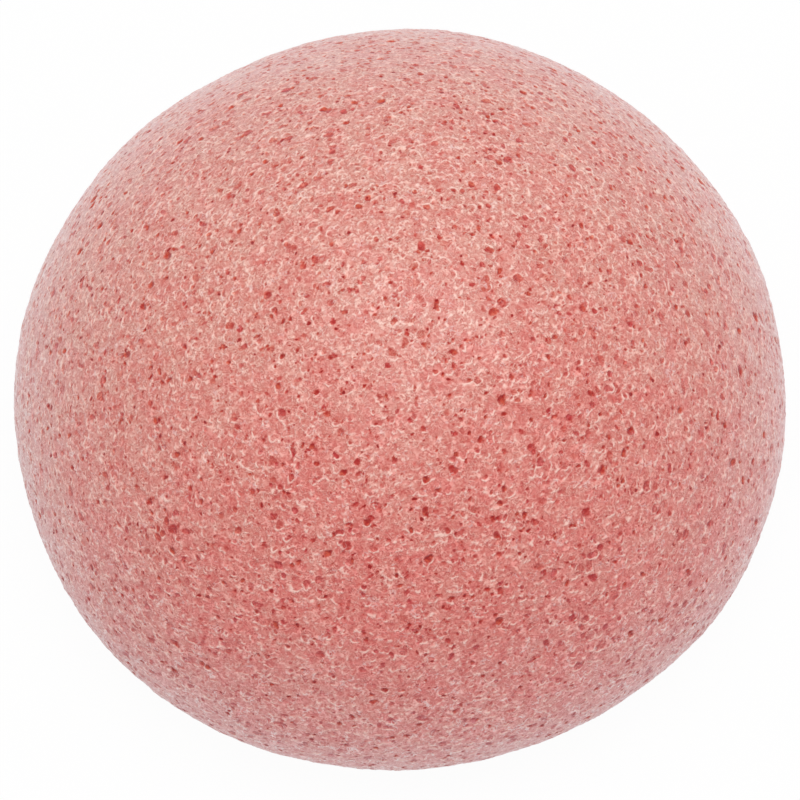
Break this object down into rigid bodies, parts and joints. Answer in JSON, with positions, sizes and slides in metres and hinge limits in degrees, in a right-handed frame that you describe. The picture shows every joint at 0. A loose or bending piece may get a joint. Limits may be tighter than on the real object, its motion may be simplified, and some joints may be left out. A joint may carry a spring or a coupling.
{
  "type": "konjac sponge",
  "caption": "Half-ball facial sponge of moulded konjac foam with a crowned dome, a rolled rim and a flat back.",
  "frame": {"origin": "centre of the flat back, on the surface that the sponge rests on", "axes": "+Z out of the back through the crown; +X to the right and -Y towards the viewer of the picture"},
  "size_m": [0.08, 0.08, 0.04],
  "materials": {
    "konjac_foam": "damp open-celled foam, matt, coral pink"
  },
  "bodies": {
    "root": {"sponge_body": "konjac_foam"}
  },
  "joints": []
}
